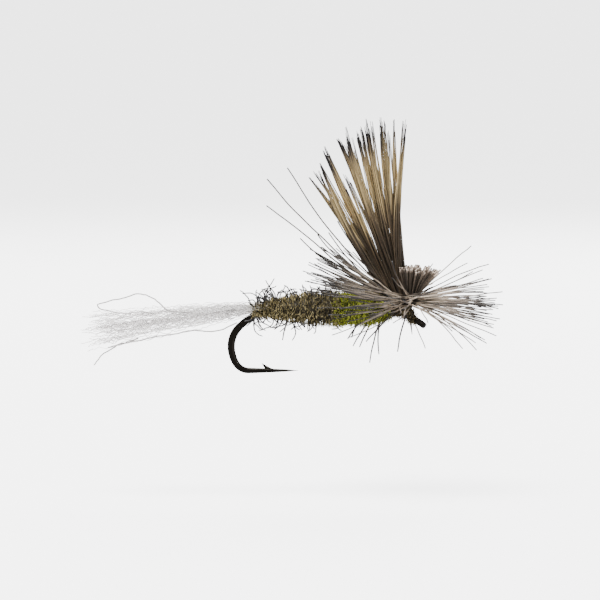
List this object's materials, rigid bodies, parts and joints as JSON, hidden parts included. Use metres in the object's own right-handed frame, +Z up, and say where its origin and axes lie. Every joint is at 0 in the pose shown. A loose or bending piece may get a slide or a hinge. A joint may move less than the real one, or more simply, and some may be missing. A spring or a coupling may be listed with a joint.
{
  "type": "dry fly",
  "caption": "Artificial dry fly on a light wire hook: upright hair wing, hackle wound round its foot, dubbed body and pale yarn tail.",
  "frame": {"origin": "centre of the hook eye's hole", "axes": "+X along the shank from the bend to the eye, +Z up along the wing, +Y to the fly's left side"},
  "size_m": [0.0302, 0.0144, 0.0186],
  "materials": {
    "bronzed_wire": "glossy dark bronze finish",
    "tying_thread": "waxed thread",
    "tail_yarn": "translucent crinkled yarn",
    "abdomen_fur": "rough spun fur",
    "thorax_fur": "soft spun fur",
    "head_fur": "rough spun fur",
    "wing_hair": "smooth hair, dark root, tan band, dark tip",
    "hair_butts": "clipped hair with pale cut ends",
    "hackle_stem": "horny feather stem",
    "hackle_barbs": "glossy feather barbs"
  },
  "bodies": {
    "fly_body": {"hook": "bronzed_wire", "shank_thread": "tying_thread", "tail_yarn_root": "tail_yarn", "tail_tie_wraps": "tying_thread", "wing_tie_wraps": "tying_thread", "abdomen_dubbing": "abdomen_fur", "thorax_dubbing": "thorax_fur", "head_dubbing": "head_fur", "wing_hair_root": "wing_hair", "post_wraps": "tying_thread", "hackle_quill": "hackle_stem", "hackle_barbs_turn_1": "hackle_barbs", "hackle_barbs_turn_2": "hackle_barbs", "hackle_barbs_turn_3": "hackle_barbs", "hackle_barbs_turn_4": "hackle_barbs", "hackle_stray_barbs": "hackle_barbs", "wing_butts": "hair_butts", "whip_finish": "tying_thread", "hackle_stem_stub": "hackle_stem"},
    "wing": {"wing_hair_rear": "wing_hair", "wing_hair_mid_rear": "wing_hair", "wing_hair_mid_front": "wing_hair", "wing_hair_front": "wing_hair", "wing_stray_hairs": "wing_hair"},
    "tail": {"tail_yarn_lower": "tail_yarn", "tail_yarn_middle": "tail_yarn", "tail_yarn_upper": "tail_yarn", "tail_loop_fibre": "tail_yarn"}
  },
  "joints": [
    {"name": "wing_flex", "type": "hinge", "parent": "fly_body", "child": "wing", "pos_m": [-0.00108, 0, 0.00195], "axis": [0, 1, 0], "range_deg": [-20, 10], "stiffness_Nm_per_rad": 0.00005},
    {"name": "tail_flex", "type": "hinge", "parent": "fly_body", "child": "tail", "pos_m": [-0.0112, 0, 0.00115], "axis": [0, 1, 0], "range_deg": [-5, 15], "stiffness_Nm_per_rad": 0.00002}
  ]
}
